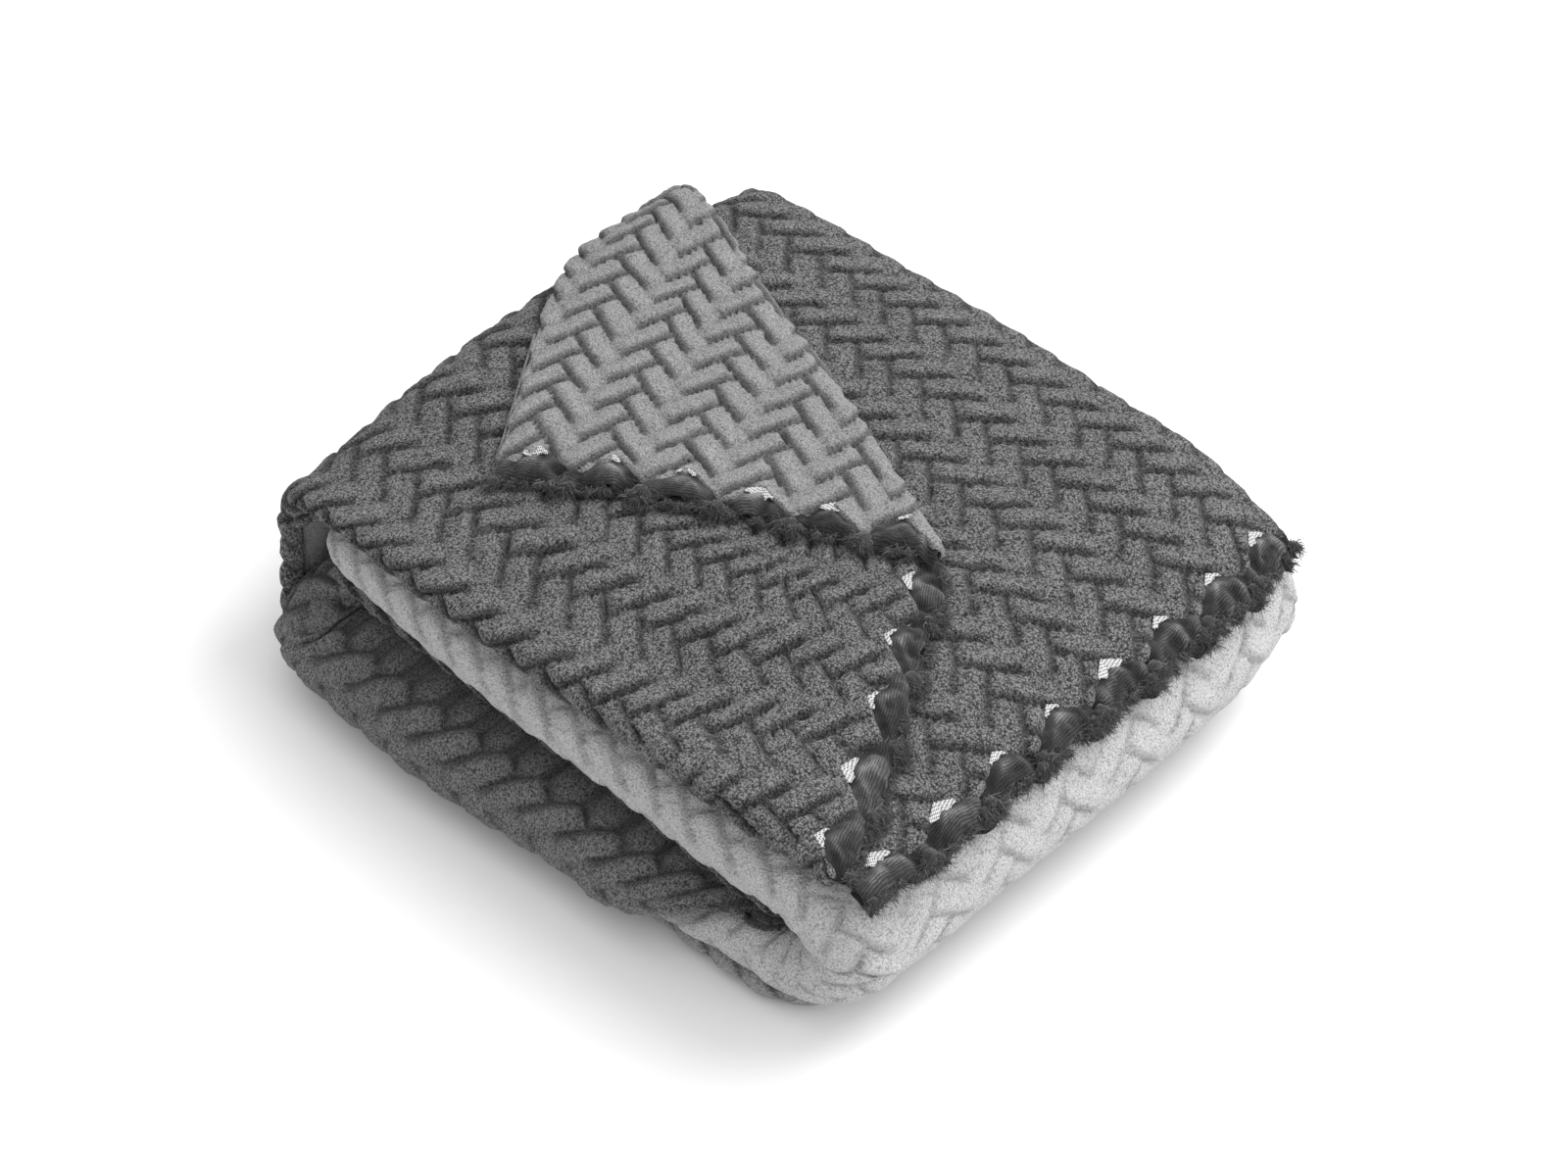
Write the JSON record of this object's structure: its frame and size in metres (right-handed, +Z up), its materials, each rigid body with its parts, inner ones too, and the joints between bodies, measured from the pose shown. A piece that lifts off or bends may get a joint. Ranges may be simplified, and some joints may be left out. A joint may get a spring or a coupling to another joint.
{
  "type": "folded throw blanket",
  "caption": "Two-sided sculpted fleece throw folded into a soft rectangular stack, dark side up with a light reverse, raw toothed cut ends and the top corner turned back.",
  "frame": {"origin": "middle of the footprint's bounding box, on the surface that the folded throw lies on", "axes": "+Z up; +X along the stack's long side, towards the toothed cut ends; -Y towards the side that shows the creases"},
  "size_m": [0.425, 0.37, 0.1559],
  "materials": {
    "dark_fleece": "charcoal grey long-pile fleece, carved in a herringbone, matt with a soft sheen",
    "light_fleece": "pale grey short-pile fleece with the same relief pressed through, matt",
    "knit_ground": "bare ribbed knit ground, near black, matt",
    "lining_mesh": "off-white open mesh, matt",
    "pile_tufts": "loose charcoal pile, fuzzy",
    "seam_thread": "mid-grey overlock thread"
  },
  "bodies": {
    "stack": {"outer_wrap_dark_ply": "dark_fleece", "base_fold_dark_ply": "dark_fleece", "end_fold_dark_ply": "dark_fleece", "end_fold_core_dark_ply": "dark_fleece", "inner_fold_dark_ply": "dark_fleece", "inner_fold_core_dark_ply": "dark_fleece", "third_panel_dark_ply": "dark_fleece", "under_panel_dark_ply": "dark_fleece", "outer_wrap_light_ply": "light_fleece", "base_fold_light_ply": "light_fleece", "end_fold_light_ply": "light_fleece", "end_fold_core_light_ply": "light_fleece", "inner_fold_light_ply": "light_fleece", "inner_fold_core_light_ply": "light_fleece", "third_panel_light_ply": "light_fleece", "under_panel_light_ply": "light_fleece", "third_panel_edge_knit": "knit_ground", "under_panel_edge_knit": "knit_ground", "under_panel_edge_lining": "lining_mesh", "third_panel_edge_tufts": "pile_tufts", "under_panel_edge_tufts": "pile_tufts"},
    "top_panel": {"top_panel_dark_ply": "dark_fleece", "top_panel_light_ply": "light_fleece", "top_panel_edge_knit": "knit_ground", "top_panel_edge_lining": "lining_mesh", "top_panel_edge_tufts": "pile_tufts", "top_panel_side_seam": "seam_thread"},
    "corner_flap": {"corner_flap_dark_ply": "dark_fleece", "corner_flap_light_ply": "light_fleece", "corner_flap_edge_knit": "knit_ground", "corner_flap_edge_lining": "lining_mesh", "corner_flap_edge_tufts": "pile_tufts", "corner_flap_side_seam": "seam_thread"}
  },
  "joints": [
    {"name": "top_panel_lift", "type": "hinge", "parent": "stack", "child": "top_panel", "pos_m": [-0.20775, 0, 0.104], "axis": [0, -1, 0], "range_deg": [0, 85]},
    {"name": "corner_turnback", "type": "hinge", "parent": "top_panel", "child": "corner_flap", "pos_m": [0.103, 0.012, 0.1462], "axis": [-0.9285, 0.3714, 0], "range_deg": [0, 170]}
  ]
}
